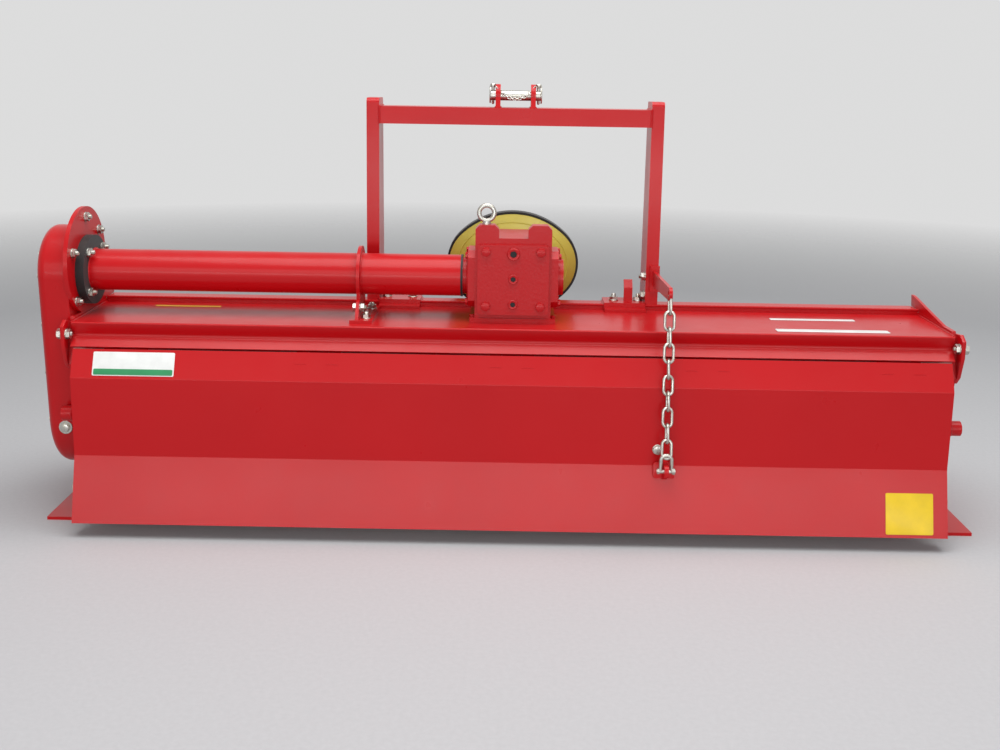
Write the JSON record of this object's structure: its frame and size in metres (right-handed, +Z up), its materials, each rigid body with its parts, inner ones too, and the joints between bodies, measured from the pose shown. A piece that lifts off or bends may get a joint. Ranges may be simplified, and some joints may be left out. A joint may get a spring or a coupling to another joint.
{
  "type": "rotary tiller",
  "caption": "Mounted rotary tiller with a bladed rotor under a hood, side drive case, three-point mast, shaft guard and a hinged tailboard held by a chain.",
  "frame": {"origin": "on the ground below the middle of the machine's bounding box", "axes": "+X to the right seen from behind, +Y forward towards the tractor, +Z up"},
  "size_m": [2.252, 0.6625, 1.064],
  "materials": {
    "red_paint": "gloss",
    "black_rubber": "satin",
    "yellow_plastic": "satin",
    "zinc": "zinc plated",
    "bare_steel": "machined, oiled",
    "blade_steel": "dark lacquer"
  },
  "bodies": {
    "root": {"deck": "red_paint", "front_beam": "red_paint", "front_apron": "red_paint", "side_plate_left": "red_paint", "side_plate_right": "red_paint", "skid_left": "red_paint", "skid_right": "red_paint", "side_case": "red_paint", "drive_tube": "red_paint", "case_ring": "black_rubber", "tube_support": "red_paint", "gearbox": "red_paint", "gearbox_cover": "red_paint", "lifting_eye": "zinc", "guard_cone": "yellow_plastic", "guard_rim": "black_rubber", "upright_left": "red_paint", "hitch_plate_left": "red_paint", "hitch_pin_left": "zinc", "beam_clamp_left": "red_paint", "upright_right": "red_paint", "hitch_plate_right": "red_paint", "hitch_pin_right": "zinc", "beam_clamp_right": "red_paint", "crossbar": "red_paint", "top_link_lugs": "red_paint", "top_link_pin": "zinc", "shaft_hook": "red_paint", "bearing_left": "red_paint", "bearing_right": "red_paint", "hinge_rod": "zinc", "chain": "zinc", "chain_arm": "red_paint"},
    "rotor": {"rotor_shaft": "red_paint", "rotor_blades": "blade_steel"},
    "tailboard": {"tailboard": "red_paint", "chain_lug": "red_paint", "shackle": "zinc"},
    "input": {"input_shaft": "bare_steel"}
  },
  "joints": [
    {"name": "rotor_spin", "type": "hinge", "parent": "root", "child": "rotor", "pos_m": [0, -0.04, 0.25], "axis": [-1, 0, 0], "continuous": true},
    {"name": "tailboard_lift", "type": "hinge", "parent": "root", "child": "tailboard", "pos_m": [0, -0.215, 0.438], "axis": [-1, 0, 0], "range_deg": [0, 45], "deforming": ["chain"]},
    {"name": "input_spin", "type": "hinge", "parent": "root", "child": "input", "pos_m": [0, 0.062, 0.605], "axis": [0, 1, 0], "continuous": true}
  ],
  "couplings": [
    {"joint": "input_spin", "follows": "rotor_spin", "ratio": 2.5}
  ]
}
